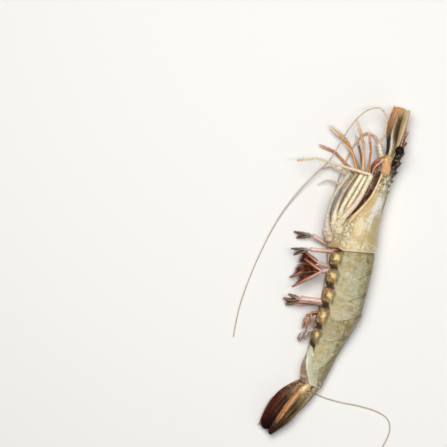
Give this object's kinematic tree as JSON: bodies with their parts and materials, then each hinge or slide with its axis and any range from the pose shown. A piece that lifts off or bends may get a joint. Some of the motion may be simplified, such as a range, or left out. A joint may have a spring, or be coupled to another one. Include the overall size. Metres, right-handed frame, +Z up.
{
  "type": "raw tiger prawn",
  "caption": "Whole raw tiger prawn, head and shell on, lying on its side with its legs and swimmerets folded to the belly and its long feelers on the surface.",
  "frame": {"origin": "middle of the prawn's bounding box in plan, on the surface it lies on", "axes": "+Y from the tail fan to the tip of the rostrum, +X towards the back, +Z up, which is the prawn's left side"},
  "size_m": [0.1004, 0.1818, 0.0227],
  "materials": {
    "shell": "wet horny shell, speckled olive and tan",
    "underside": "wet pale membrane",
    "tail_fan": "wet dark brown blades with red rims",
    "tail_base": "wet yellow-orange shell",
    "eye": "glossy black",
    "feelers": "smooth pale tan",
    "head_scale": "wet horny shell, dark middle and pale rim",
    "mouthparts": "wet brown olive",
    "legs": "wet, cream white with orange tips",
    "swimmerets": "wet pink red"
  },
  "bodies": {
    "root": {"carapace": "shell", "thorax": "underside", "abdomen_1": "shell", "abdomen_2": "shell", "abdomen_3": "shell", "abdomen_4": "shell", "abdomen_5": "shell", "abdomen_6": "shell", "telson": "tail_fan", "uropod_base_left": "tail_base", "exopod_left": "tail_fan", "endopod_left": "tail_fan", "eye_left": "eye", "antennule_left": "feelers", "antennal_scale_left": "head_scale", "antenna_left": "feelers", "maxilliped_left": "mouthparts", "leg_left_1": "legs", "leg_left_2": "legs", "leg_left_3": "legs", "leg_left_4": "legs", "leg_left_5": "legs", "swimmeret_left_1": "swimmerets", "swimmeret_left_2": "swimmerets", "swimmeret_left_3": "swimmerets", "swimmeret_left_4": "swimmerets", "swimmeret_left_5": "swimmerets", "uropod_base_right": "tail_base", "exopod_right": "tail_fan", "endopod_right": "tail_fan", "eye_right": "eye", "antennule_right": "feelers", "antennal_scale_right": "head_scale", "antenna_right": "feelers", "maxilliped_right": "mouthparts", "leg_right_1": "legs", "leg_right_2": "legs", "leg_right_3": "legs", "leg_right_4": "legs", "leg_right_5": "legs", "swimmeret_right_1": "swimmerets", "swimmeret_right_2": "swimmerets", "swimmeret_right_3": "swimmerets", "swimmeret_right_4": "swimmerets", "swimmeret_right_5": "swimmerets"}
  },
  "joints": []
}
